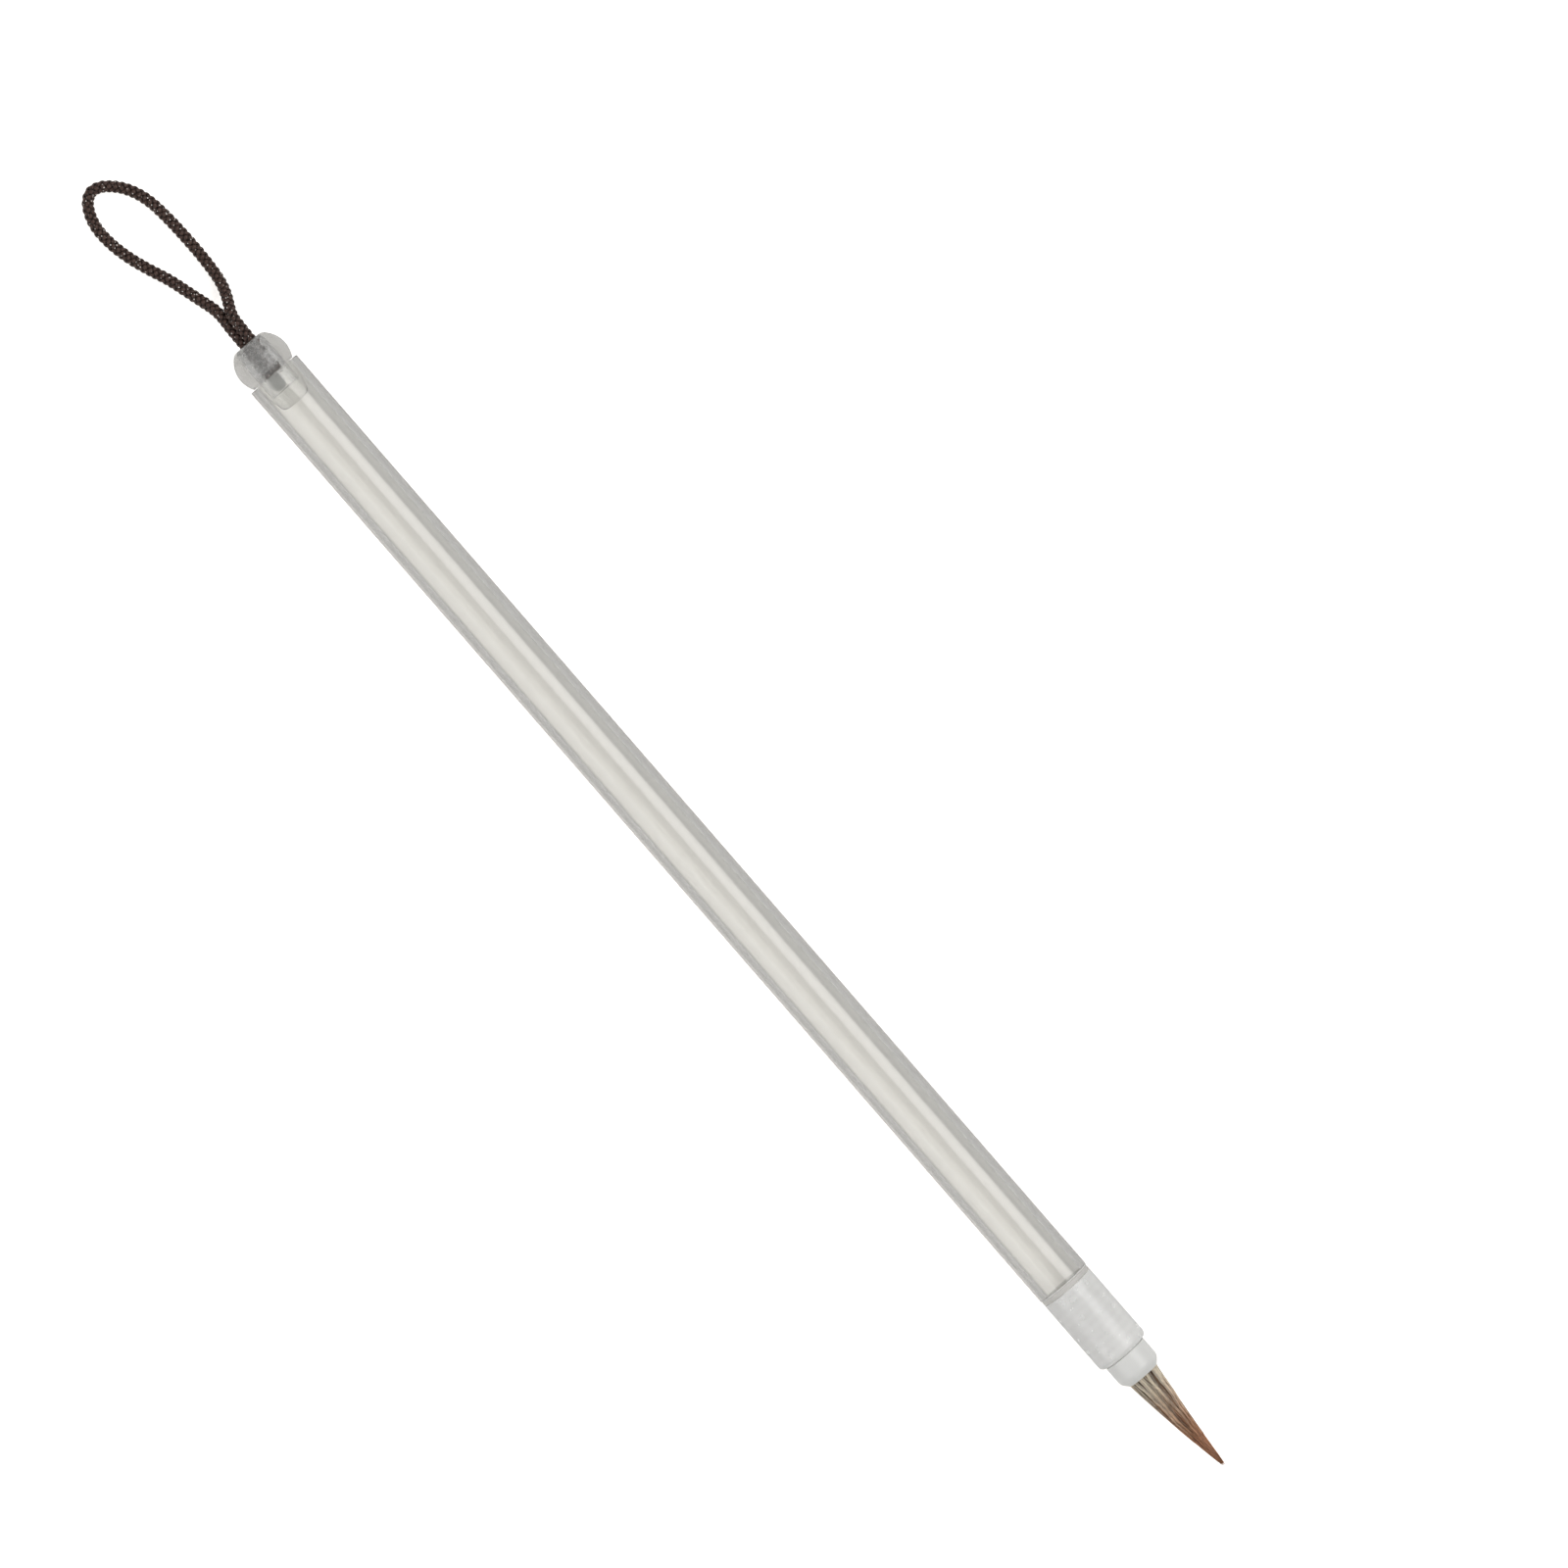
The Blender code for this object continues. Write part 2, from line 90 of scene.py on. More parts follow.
# How far beyond the ball's top, across the pen, and above the table the cord's centre line runs
CORD_ROUTE = [
    (-0.0071, 0.0007, 0.0055),
    (-0.0035, 0.0007, 0.0055),
    (0.0002, 0.00085, 0.0055),
    (0.0026, 0.00095, 0.00535),
    (0.0047, 0.0011, 0.0049),
    (0.0062, 0.0016, 0.0042),
    (0.0080, 0.0025, 0.0031),
    (0.0100, 0.0032, 0.0020),
    (0.0126, 0.0036, 0.0012),
    (0.0164, 0.0038, 0.0009),
    (0.0206, 0.0038, 0.00088),
    (0.0244, 0.00365, 0.00088),
    (0.0278, 0.0033, 0.00088),
    (0.0304, 0.0026, 0.00088),
    (0.0326, 0.0015, 0.00088),
    (0.0343, 0.0001, 0.00088),
    (0.0355, -0.0015, 0.00088),
    (0.0358, -0.0032, 0.00088),
    (0.0348, -0.0047, 0.00088),
    (0.0328, -0.0058, 0.00088),
    (0.0302, -0.00635, 0.00088),
    (0.0270, -0.0062, 0.00088),
    (0.0236, -0.0055, 0.00088),
    (0.0200, -0.0043, 0.00088),
    (0.0164, -0.0029, 0.00095),
    (0.0130, -0.0019, 0.0011),
    (0.0102, -0.0011, 0.0016),
    (0.0078, -0.00045, 0.0025),
    (0.0058, -0.0003, 0.0033),
    (0.0034, -0.00045, 0.0040),
    (0.0002, -0.0005, 0.0044),
    (-0.0035, -0.0007, 0.0044),
    (-0.0071, -0.0007, 0.0044),
]


def colour(code):
    """An sRGB hex colour as linear red, green, blue and alpha."""
    parts = [int(code[i : i + 2], 16) / 255 for i in (0, 2, 4)]
    return (*[c / 12.92 if c <= 0.04045 else ((c + 0.055) / 1.055) ** 2.4 for c in parts], 1.0)


def add_node(material, kind, inputs, **settings):
    """Adds a shader node; an input is a value, or another node's output to link."""
    made = material.node_tree.nodes.new("ShaderNode" + kind)
    for name, value in settings.items():
        setattr(made, name, value)
    for name, value in inputs.items():
        if isinstance(value, bpy.types.NodeSocket):
            material.node_tree.links.new(value, made.inputs[name])
        else:
            made.inputs[name].default_value = value
    return made


def blend(material, share, first, second):
    """The first colour where a share is 0, the second where it is 1; each is hex or a node's output."""
    first, second = [colour(c) if isinstance(c, str) else c for c in (first, second)]
    return add_node(material, "Mix", {0: share, 6: first, 7: second}, data_type="RGBA").outputs[2]


def new_material(name):
    """An empty material with its output node."""
    material = bpy.data.materials.new(name)
    material.use_nodes = True
    material.node_tree.nodes.clear()
    return material


def finish_with(material, shader):
    """Links a shader to the material's surface."""
    add_node(material, "OutputMaterial", {"Surface": shader.outputs[0]})
    return material


def even_points(route, spacing):
    """A Catmull-Rom curve through the route's points, read at an even spacing."""
    route = [np.array(point) for point in route]
    padded = [2 * route[0] - route[1], *route, 2 * route[-1] - route[-2]]
    fine = []
    for before, start, end, after in zip(padded, padded[1:], padded[2:], padded[3:]):
        for t in np.arange(0, 1, 1 / 16):
            fine.append(
                0.5
                * (
                    2 * start
                    + (end - before) * t
                    + (2 * before - 5 * start + 4 * end - after) * t**2
                    + (3 * start - before - 3 * end + after) * t**3
                )
            )
    fine = np.array([*fine, route[-1]])
    run = np.concatenate([[0], np.cumsum(np.linalg.norm(np.diff(fine, axis=0), axis=1))])
    wanted = np.linspace(0, run[-1], round(run[-1] / spacing) + 1)
    return wanted, np.stack([np.interp(wanted, run, fine[:, i]) for i in range(3)], 1)


def sides_along(points):
    """Two directions square to a line at each of its points, which never twist round it."""
    ahead = np.gradient(points, axis=0)
    ahead /= np.linalg.norm(ahead, axis=1)[:, None]
    side = np.cross(ahead[0], (0, 0, 1.0))
    sides = []
    for direction in ahead:
        side = side - side @ direction * direction
        side = side / np.linalg.norm(side)
        sides.append(side)
    sides = np.array(sides)
    return sides, np.cross(ahead, sides)


def mesh_from_rings(name, rods, caps=True):
    """One mesh of many rods. A rod is an array of rings, each the same number of points; UV x is how far
    along it a face lies, from 0 to 1, and UV y the rod's own number from 0 to 1."""
    points = []
    faces = []
    uvs = []
    for number, rod in enumerate(rods):
        rings, sides = rod.shape[:2]
        first = len(points)
        points += rod.reshape(-1, 3).tolist()
        share = (number + 0.5) / len(rods)
        for i in range(rings - 1):
            for j in range(sides):
                k = (j + 1) % sides
                low, high = first + i * sides, first + (i + 1) * sides
                faces.append((low + j, low + k, high + k, high + j))
                uvs += [(i / (rings - 1), share)] * 2 + [((i + 1) / (rings - 1), share)] * 2
        if caps:
            faces.append(tuple(first + j for j in reversed(range(sides))))
            faces.append(tuple(first + (rings - 1) * sides + j for j in range(sides)))
            uvs += [(0.0, share)] * sides + [(1.0, share)] * sides
    mesh = bpy.data.meshes.new(name)
    mesh.from_pydata(points, [], faces)
    layer = mesh.uv_layers.new(name="along")
    layer.data.foreach_set("uv", np.array(uvs, np.float32).ravel())
    mesh.shade_smooth()
    piece = bpy.data.objects.new(name, mesh)
    bpy.context.scene.collection.objects.link(piece)
    return piece


BRAID_LEAD = 4.2 * MM  # one turn of a strand round the cord
STRANDS_EACH_WAY = 4
STRAND_CIRCLE = 0.75 * MM
STRAND_SWING = 0.11 * MM  # how far a strand rises over the others and dips under them
STRAND_HALF_WIDTH = 0.35 * MM
STRAND_HALF_DEPTH = 0.19 * MM

run, line = even_points([(ball_top - out, across, up) for out, across, up in CORD_ROUTE], 0.13 * MM)
line[:, 2] = np.maximum(line[:, 2], STRAND_CIRCLE + STRAND_SWING + STRAND_HALF_DEPTH)
side, lift = sides_along(line)
round_angles = np.linspace(0, math.tau, 8, endpoint=False)
strands = []
for way in (1, -1):
    for number in range(STRANDS_EACH_WAY):
        turn = way * math.tau * run / BRAID_LEAD + math.tau * number / STRANDS_EACH_WAY
        swing = way * STRAND_SWING * np.cos(math.tau * STRANDS_EACH_WAY * run / BRAID_LEAD)
        outwards = np.cos(turn)[:, None] * side + np.sin(turn)[:, None] * lift
        middle = line + (STRAND_CIRCLE + swing)[:, None] * outwards
        ahead = np.gradient(middle, axis=0)
        sideways = np.cross(outwards, ahead)
        sideways /= np.linalg.norm(sideways, axis=1)[:, None]
        strands.append(
            middle[:, None]
            + STRAND_HALF_DEPTH * np.cos(round_angles)[None, :, None] * outwards[:, None]
            + STRAND_HALF_WIDTH * np.sin(round_angles)[None, :, None] * sideways[:, None]
        )
core_radius = STRAND_CIRCLE - STRAND_SWING - STRAND_HALF_DEPTH / 2
strands.append(
    line[:, None]
    + core_radius * np.cos(round_angles)[None, :, None] * side[:, None]
    + core_radius * np.sin(round_angles)[None, :, None] * lift[:, None]
)
hang_cord = mesh_from_rings("braided_cord", strands)

# Braided nylon 6: silky spun filaments, with painted shade that turns a strand near black where it dives
# under the others, and painted glints that show as pale specks between them. The filaments are too fine to
# show, so they are drawn 0.3 mm apart.
nylon = new_material("nylon_braid")
place = add_node(nylon, "TexCoord", {})
fibres = add_node(nylon, "TexNoise", {"Vector": place.outputs["Object"], "Scale": 3300, "Detail": 3})

# The strands of one way rise where those of the other dip. Their number is in the UV map.
which = add_node(nylon, "UVMap", {}, uv_map="along")
strand = add_node(nylon, "SeparateXYZ", {"Vector": which.outputs[0]})
crossings = math.tau * STRANDS_EACH_WAY * run[-1] / BRAID_LEAD
dip = add_node(nylon, "Math", {0: strand.outputs[0], 1: crossings}, operation="MULTIPLY")
wave = add_node(nylon, "Math", {0: dip.outputs[0]}, operation="COSINE")
first_share = STRANDS_EACH_WAY / len(strands)
first_way = add_node(nylon, "Math", {0: strand.outputs[1], 1: first_share}, operation="LESS_THAN")
sign = add_node(nylon, "MapRange", {"Value": first_way.outputs[0], "To Min": -1.0, "To Max": 1.0})
over = add_node(nylon, "Math", {0: wave.outputs[0], 1: sign.outputs[0]}, operation="MULTIPLY")
# Painted shade: a strand's colour is darkened where it dips under the strands of the other way.
shade = add_node(
    nylon, "MapRange", {"Value": over.outputs[0], "From Min": -0.3, "To Min": 0.0, "To Max": 0.7}
)
mottle = add_node(
    nylon,
    "MapRange",
    {"Value": fibres.outputs[0], "From Min": 0.35, "From Max": 0.65, "To Min": -0.15, "To Max": 0.3},
)
level = add_node(
    nylon, "Math", {0: shade.outputs[0], 1: mottle.outputs[0]}, operation="ADD", use_clamp=True
)
dye_and_painted_shade = blend(nylon, level.outputs[0], "060303", "5C463E")
# Painted glints: small pale specks scattered over the braid's colour.
painted_glint_cells = add_node(nylon, "TexVoronoi", {"Vector": place.outputs["Object"], "Scale": 1400})
painted_glint_share = add_node(
    nylon,
    "MapRange",
    {"Value": painted_glint_cells.outputs[0], "From Min": 0.14, "From Max": 0.2, "To Min": 1.0, "To Max": 0.0},
)
with_painted_glints = blend(nylon, painted_glint_share.outputs[0], dye_and_painted_shade, "D9D2CC")
bump = add_node(nylon, "Bump", {"Height": fibres.outputs[0], "Strength": 0.5, "Distance": 0.05 * MM})
finish_with(
    nylon,
    add_node(
        nylon,
        "BsdfPrincipled",
        {
            "Base Color": with_painted_glints,
            "Roughness": 0.35,
            "Normal": bump.outputs[0],
            "IOR": 1.53,
            "Specular IOR Level": 0.22,
        },
    ),
)
hang_cord.data.materials.append(nylon)
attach(hang_cord, "tail_plug")
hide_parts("hang_cord")

# ---------------------------------------------------------------------------------------------------------
# Cord end bead: where the cord's two ends were melted into one lump, so that they can't pull out of the
# ball. Burnt nylon sets hard, lumpy and a little glossy.
BEAD_RADIUS = 1.5 * MM
BEAD_START = 0.3 * MM  # outside the barrel's rim, where the cord's ends run out
low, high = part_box("cord_end_bead")
low.x = span("barrel")[0] - BEAD_START
bpy.ops.object.select_all(action="DESELECT")
bpy.ops.mesh.primitive_uv_sphere_add(segments=32, ring_count=20, radius=1, location=(low + high) / 2)
bead = bpy.context.object
bead.name = "melted_bead"
bead.scale = ((high.x - low.x) / 2, BEAD_RADIUS, BEAD_RADIUS)
bpy.ops.object.transform_apply(location=True, rotation=True, scale=True)
lumps = bpy.data.textures.new("lumps", "CLOUDS")
lumps.noise_scale = 0.9 * MM
swell = bead.modifiers.new("lumps", "DISPLACE")
swell.texture = lumps
swell.texture_coords = "GLOBAL"
swell.strength = -0.4 * MM
swell.mid_level = 0.25
bpy.ops.object.modifier_apply(modifier="lumps")
bpy.ops.object.shade_smooth()

burnt = new_material("melted_nylon")
place = add_node(burnt, "TexCoord", {})
streaks = add_node(burnt, "TexNoise", {"Vector": place.outputs["Object"], "Scale": 900, "Detail": 4})
tint = blend(burnt, streaks.outputs[0], "1C211F", "7C837F")
finish_with(
    burnt,
    add_node(burnt, "BsdfPrincipled", {"Base Color": tint, "Roughness": 0.3, "IOR": 1.53}),
)
bead.data.materials.append(burnt)
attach(bead, "tail_plug")
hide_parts("cord_end_bead")

# ---------------------------------------------------------------------------------------------------------
# Barrel: one clear styrene tube, 10 mm outside and 7.3 mm inside, with a narrower threaded neck at the
# front. The bore holds the ink or water.
SIDES = 128
AXIS_HEIGHT = (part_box("barrel")[0].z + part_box("barrel")[1].z) / 2
EDGE = 0.2 * MM


def arc(x, radius, size, start, end, steps=6):
    """Outline points round a corner: x and radius of its centre, and angles from the outward direction."""
    angles = [math.radians(start + (end - start) * i / steps) for i in range(steps + 1)]
    return [(x + size * math.sin(angle), radius + size * math.cos(angle)) for angle in angles]


def turned(name, outline, ring=True):
    """Draws a round piece out of one ring, extruded and scaled from each outline point (x, radius) to the
    next. A ring's last point is bridged to its first; otherwise both ends are capped."""
    bpy.ops.object.select_all(action="DESELECT")
    x, radius = outline[0]
    bpy.ops.mesh.primitive_circle_add(
        vertices=SIDES, radius=radius, location=(x, 0, AXIS_HEIGHT), rotation=(0, math.pi / 2, 0)
    )
    piece = bpy.context.object
    piece.name = piece.data.name = name
    bpy.ops.object.transform_apply(location=True, rotation=True, scale=True)
    bpy.ops.object.mode_set(mode="EDIT")
    bpy.ops.mesh.select_all(action="SELECT")
    for (x, radius), (next_x, next_radius) in zip(outline, outline[1:]):
        bpy.ops.mesh.extrude_edges_move(TRANSFORM_OT_translate={"value": (next_x - x, 0, 0)})
        grow = next_radius / radius
        bpy.ops.transform.resize(value=(1, grow, grow), center_override=(next_x, 0, AXIS_HEIGHT))
    bpy.ops.mesh.select_all(action="DESELECT")
    bpy.ops.mesh.select_non_manifold(
        use_wire=False, use_multi_face=False, use_non_contiguous=False, use_verts=False
    )
    if ring:
        bpy.ops.mesh.bridge_edge_loops()
    else:
        bpy.ops.mesh.fill_holes(sides=0)
    bpy.ops.mesh.select_all(action="SELECT")
    bpy.ops.mesh.normals_make_consistent(inside=False)
    bpy.ops.object.mode_set(mode="OBJECT")
    bpy.ops.object.shade_smooth_by_angle(angle=math.radians(35))
    return piece


def pick_only(piece):
    """Selects one piece and nothing else, for the operators that follow."""
    bpy.ops.object.select_all(action="DESELECT")
    piece.select_set(True)
    bpy.context.view_layer.objects.active = piece


THREAD_LET_IN = 0.1 * MM
ROOT_HALF_WIDTH = 0.54 * MM
FLANK_HALF_WIDTH = 0.27 * MM
FLANK_HEIGHT_SHARE = 0.7
CREST_HALF_WIDTH = 0.1 * MM


def thread(name, root_radius, crest_radius, start, turns):
    """A right-hand screw thread: a ridge swept round the pen's axis, its root let into the wall."""
    sunk = root_radius - math.copysign(THREAD_LET_IN, crest_radius - root_radius)
    flank = root_radius + FLANK_HEIGHT_SHARE * (crest_radius - root_radius)
    half_outline = [(ROOT_HALF_WIDTH, sunk), (FLANK_HALF_WIDTH, flank), (CREST_HALF_WIDTH, crest_radius)]
    corners = [(-along, radius) for along, radius in half_outline] + half_outline[::-1]
    edges = [(i, (i + 1) % len(corners)) for i in range(len(corners))]
    mesh = bpy.data.meshes.new(name)
    mesh.from_pydata([(0, radius, along) for along, radius in corners], edges, [])
    ridge = bpy.data.objects.new(name, mesh)
    bpy.context.scene.collection.objects.link(ridge)
    pick_only(ridge)
    sweep = ridge.modifiers.new("sweep", "SCREW")
    sweep.screw_offset = THREAD_PITCH
    sweep.iterations = turns
    sweep.steps = sweep.render_steps = 64
    sweep.use_normal_calculate = True
    bpy.ops.object.modifier_apply(modifier="sweep")
    bpy.ops.object.mode_set(mode="EDIT")
    bpy.ops.mesh.select_all(action="SELECT")
    bpy.ops.mesh.fill_holes(sides=0)
    bpy.ops.mesh.select_all(action="SELECT")
    bpy.ops.mesh.normals_make_consistent(inside=False)
    bpy.ops.object.mode_set(mode="OBJECT")
    ridge.rotation_euler = (0, math.pi / 2, 0)
    ridge.location = (start, 0, AXIS_HEIGHT)
    bpy.ops.object.transform_apply(location=True, rotation=True, scale=True)
    return ridge


def fused(piece, other):
    """Moulds another shape into a piece."""
    pick_only(piece)
    union = piece.modifiers.new("fused", "BOOLEAN")
    union.operation = "UNION"
    union.object = other
    bpy.ops.object.modifier_apply(modifier="fused")
    bpy.data.objects.remove(other, do_unlink=True)
    bpy.ops.object.shade_smooth_by_angle(angle=math.radians(35))


rim, neck_end = span("barrel")
sleeve_back, sleeve_front = span("head_sleeve")
GAP = 0.1 * MM  # what the CAD keeps between pieces that touch
shoulder = span("neck_seal")[0] - GAP
barrel_radius = girth("barrel")
BORE_RADIUS = 3.65 * MM
NECK_RADIUS = 3.65 * MM
NECK_BORE_RADIUS = 2.7 * MM
FUNNEL_LENGTH = 0.15 * MM
THREAD_PITCH = 1.4 * MM
THREAD_HEIGHT = 0.45 * MM
NECK_TURNS = 4
SLEEVE_TURNS = 9
THREAD_START = 0.6 * MM  # from the sleeve's back to its first turn; the neck's turns lie between these

barrel = turned(
    "clear_barrel",
    [
        (neck_end, NECK_BORE_RADIUS),
        (neck_end, NECK_RADIUS - EDGE),
        (neck_end - EDGE, NECK_RADIUS),
        (shoulder, NECK_RADIUS),
        *arc(shoulder - EDGE, barrel_radius - EDGE, EDGE, 90, 0),
        *arc(rim + EDGE, barrel_radius - EDGE, EDGE, 0, -90),
        (rim, BORE_RADIUS + EDGE),
        (rim + EDGE, BORE_RADIUS),
        (shoulder - FUNNEL_LENGTH, BORE_RADIUS),
        (shoulder + GAP / 2, NECK_BORE_RADIUS),
    ],
)
start = sleeve_back + THREAD_START + THREAD_PITCH / 2
fused(barrel, thread("neck_thread", NECK_RADIUS, NECK_RADIUS + THREAD_HEIGHT, start, NECK_TURNS))

# Clear styrene: glassy, a little smoky through its thickness, with the soft flow marks of a moulding. Lamps
# shine straight through it, so that what it holds is lit.
clear_styrene = new_material("clear_styrene")
place = add_node(clear_styrene, "TexCoord", {})
drawn = add_node(clear_styrene, "Mapping", {"Vector": place.outputs["Object"], "Scale": (0.12, 1, 1)})
flow = add_node(clear_styrene, "TexNoise", {"Vector": drawn.outputs[0], "Scale": 500, "Detail": 2})
haze = add_node(clear_styrene, "MapRange", {"Value": flow.outputs[0], "To Min": 0.03, "To Max": 0.05})
plastic = add_node(
    clear_styrene,
    "BsdfPrincipled",
    {
        "Base Color": colour("FAFAF8"),
        "Roughness": haze.outputs[0],
        "IOR": 1.5,
        "Transmission Weight": 0.93,
    },
)


def lit_through(material, plastic, share, tint):
    """Lets a share of the lamps' light straight through a clear or milky plastic."""
    ray = add_node(material, "LightPath", {})
    let_in = add_node(material, "Math", {0: ray.outputs["Is Shadow Ray"], 1: share}, operation="MULTIPLY")
    gap = add_node(material, "BsdfTransparent", {"Color": colour(tint)})
    return add_node(material, "MixShader", {0: let_in.outputs[0], 1: plastic.outputs[0], 2: gap.outputs[0]})


surface = lit_through(clear_styrene, plastic, 1.0, "F9F9F7")
smoke = add_node(clear_styrene, "VolumeAbsorption", {"Color": colour("BEBBBA"), "Density": 240})
add_node(clear_styrene, "OutputMaterial", {"Surface": surface.outputs[0], "Volume": smoke.outputs[0]})
barrel.data.materials.append(clear_styrene)


def frosted(name, dark, light, through, scale, depth):
    """Clear plastic left rough by its mould, with small bubbles of trapped air in its skin."""
    material = new_material(name)
    place = add_node(material, "TexCoord", {})
    bubbles = add_node(material, "TexVoronoi", {"Vector": place.outputs["Object"], "Scale": scale})
    frost = add_node(material, "MapRange", {"Value": bubbles.outputs[0], "To Min": 0.1, "To Max": 0.35})
    tint = blend(material, bubbles.outputs[0], dark, light)
    bump = add_node(material, "Bump", {"Height": bubbles.outputs[0], "Strength": 0.6, "Distance": depth})
    plastic = add_node(
        material,
        "BsdfPrincipled",
        {
            "Base Color": tint,
            "Roughness": frost.outputs[0],
            "Normal": bump.outputs[0],
            "IOR": 1.49,
            "Transmission Weight": through,
        },
    )
    return finish_with(material, lit_through(material, plastic, 1.0, "F8F8F8"))


# The shoulder is where the mould parts: its face and edge and the narrowing of the bore behind it are matt.
barrel.data.materials.append(frosted("frosted_styrene", "F2F1EF", "FCFBF9", 0.3, 2500, 0.03 * MM))
for face in barrel.data.polygons:
    off_axis = math.hypot(face.center.y, face.center.z - AXIS_HEIGHT)
    outside = face.center.x > shoulder - EDGE and off_axis > NECK_RADIUS + THREAD_HEIGHT
    funnel = shoulder - FUNNEL_LENGTH < face.center.x < shoulder + EDGE and off_axis < BORE_RADIUS
    if outside or funnel:
        face.material_index = 1
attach(barrel, "barrel")
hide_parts("barrel")

# ---------------------------------------------------------------------------------------------------------
# Tail plug: a solid clear ball and stem in one moulding. The stem stops the barrel, and a blind pocket in
# the ball takes the cord's ends.
ball_top, stem_end = span("tail_plug")
BALL_RADIUS = girth("tail_plug")
BALL_OFFSET = 2.7 * MM
BALL_TOP_ANGLE = -47
BALL_FLAT_RADIUS = 2.5 * MM
STEM_SEAL_LENGTH = 2.4 * MM
STEM_END_RADIUS = 2.9 * MM
STEM_END_ROUND = 1.2 * MM
POCKET_RADIUS = 1.95 * MM
POCKET_DEPTH = 9.8 * MM
CLEAR_LENGTH = 1.3 * MM  # from this far outside the rim to its end, the pocket's wall is clear
CAP_RADIUS = 0.2 * MM  # the flat that closes a solid turned piece at its axis
stem_radius = BORE_RADIUS - GAP
cut_angle = math.degrees(math.asin((BALL_OFFSET - GAP) / BALL_RADIUS))
plug = turned(
    "ball_plug",
    [
        (stem_end, CAP_RADIUS),
        *arc(stem_end - STEM_END_ROUND, STEM_END_RADIUS - STEM_END_ROUND, STEM_END_ROUND, 90, 0, 8),
        (rim + STEM_SEAL_LENGTH, stem_radius),
        (rim - GAP, stem_radius),
        *arc(rim - BALL_OFFSET, 0, BALL_RADIUS, cut_angle, BALL_TOP_ANGLE, 40),
        (ball_top + GAP, BALL_FLAT_RADIUS + 2 * EDGE),
        (ball_top, BALL_FLAT_RADIUS),
        (ball_top, POCKET_RADIUS + EDGE),
        (ball_top + EDGE, POCKET_RADIUS),
        (rim - CLEAR_LENGTH, POCKET_RADIUS),
        (ball_top + POCKET_DEPTH - EDGE, POCKET_RADIUS),
        (ball_top + POCKET_DEPTH, POCKET_RADIUS - EDGE),
        (ball_top + POCKET_DEPTH, CAP_RADIUS),
    ],
    ring=False,
)

# Clear polypropylene: softer and cloudier than the tube, with sink marks in its thick ball. The ball is
# tinted greyer than the stem.
clear_pp = new_material("clear_polypropylene")
place = add_node(clear_pp, "TexCoord", {})
cloud = add_node(clear_pp, "TexNoise", {"Vector": place.outputs["Object"], "Scale": 450, "Detail": 3})
haze = add_node(clear_pp, "MapRange", {"Value": cloud.outputs[0], "To Min": 0.03, "To Max": 0.09})
bump = add_node(clear_pp, "Bump", {"Height": cloud.outputs[0], "Strength": 0.12, "Distance": 0.05 * MM})
along = add_node(clear_pp, "SeparateXYZ", {"Vector": place.outputs["Object"]})
in_stem = add_node(
    clear_pp, "MapRange", {"Value": along.outputs[0], "From Min": rim - EDGE, "From Max": rim + EDGE}
)
tint = blend(clear_pp, in_stem.outputs[0], "D5D4D2", "FCFCFA")
plastic = add_node(
    clear_pp,
    "BsdfPrincipled",
    {
        "Base Color": tint,
        "Roughness": haze.outputs[0],
        "Normal": bump.outputs[0],
        "IOR": 1.49,
        "Transmission Weight": 0.88,
    },
)
surface = lit_through(clear_pp, plastic, 1.0, "F8F8F8")
smoke = add_node(clear_pp, "VolumeAbsorption", {"Color": colour("BCBCBA"), "Density": 45})
add_node(clear_pp, "OutputMaterial", {"Surface": surface.outputs[0], "Volume": smoke.outputs[0]})
plug.data.materials.append(clear_pp)

# The pocket's wall is frosted by the hot tool that pushed the cord in.
plug.data.materials.append(frosted("frosted_polypropylene", "B6B9B7", "FFFFFF", 0.7, 1900, 0.15 * MM))
for face in plug.data.polygons:
    off_axis = math.hypot(face.center.y, face.center.z - AXIS_HEIGHT)
    if off_axis < POCKET_RADIUS + EDGE and face.center.x < rim - CLEAR_LENGTH:
        face.material_index = 1
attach(plug, "tail_plug")
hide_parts("tail_plug")

# ---------------------------------------------------------------------------------------------------------
# Feed: a white regulator pressed into the neck, with a groove that lets air back, and the bonded fibre wick
# that carries ink through it to the root of the hair.
feed_low, feed_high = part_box("feed_plug")
FEED_RIM_THICKNESS = 0.4 * MM
FEED_BODY_RADIUS = NECK_BORE_RADIUS - GAP
feed_rim_back = feed_high.x - FEED_RIM_THICKNESS
VENT_WIDTH = 0.6 * MM
VENT_DEPTH = 0.5 * MM
WICK_RADIUS = girth("feed_wick")
feed = turned(
    "feed_regulator",
    [
        (feed_high.x, WICK_RADIUS + GAP),
        (feed_high.x, girth("feed_plug") - EDGE / 2),
        (feed_high.x - EDGE / 2, girth("feed_plug")),
        (feed_rim_back, girth("feed_plug")),
        (feed_rim_back, FEED_BODY_RADIUS),
        (feed_low.x + EDGE, FEED_BODY_RADIUS),
        (feed_low.x, FEED_BODY_RADIUS - EDGE),
        (feed_low.x, WICK_RADIUS + GAP),
    ],
)
bpy.ops.object.select_all(action="DESELECT")
cutter_height = 1.3 * MM
groove_floor = AXIS_HEIGHT + FEED_BODY_RADIUS - VENT_DEPTH
bpy.ops.mesh.primitive_cube_add(
    size=1, location=((feed_low.x + feed_high.x) / 2, 0, groove_floor + cutter_height / 2)
)
groove = bpy.context.object
groove.scale = ((feed_high.x - feed_low.x) * 1.5, VENT_WIDTH, cutter_height)
bpy.ops.object.transform_apply(location=True, rotation=True, scale=True)
pick_only(feed)
cut = feed.modifiers.new("vent", "BOOLEAN")
cut.operation = "DIFFERENCE"
cut.object = groove
bpy.ops.object.modifier_apply(modifier="vent")
bpy.data.objects.remove(groove, do_unlink=True)

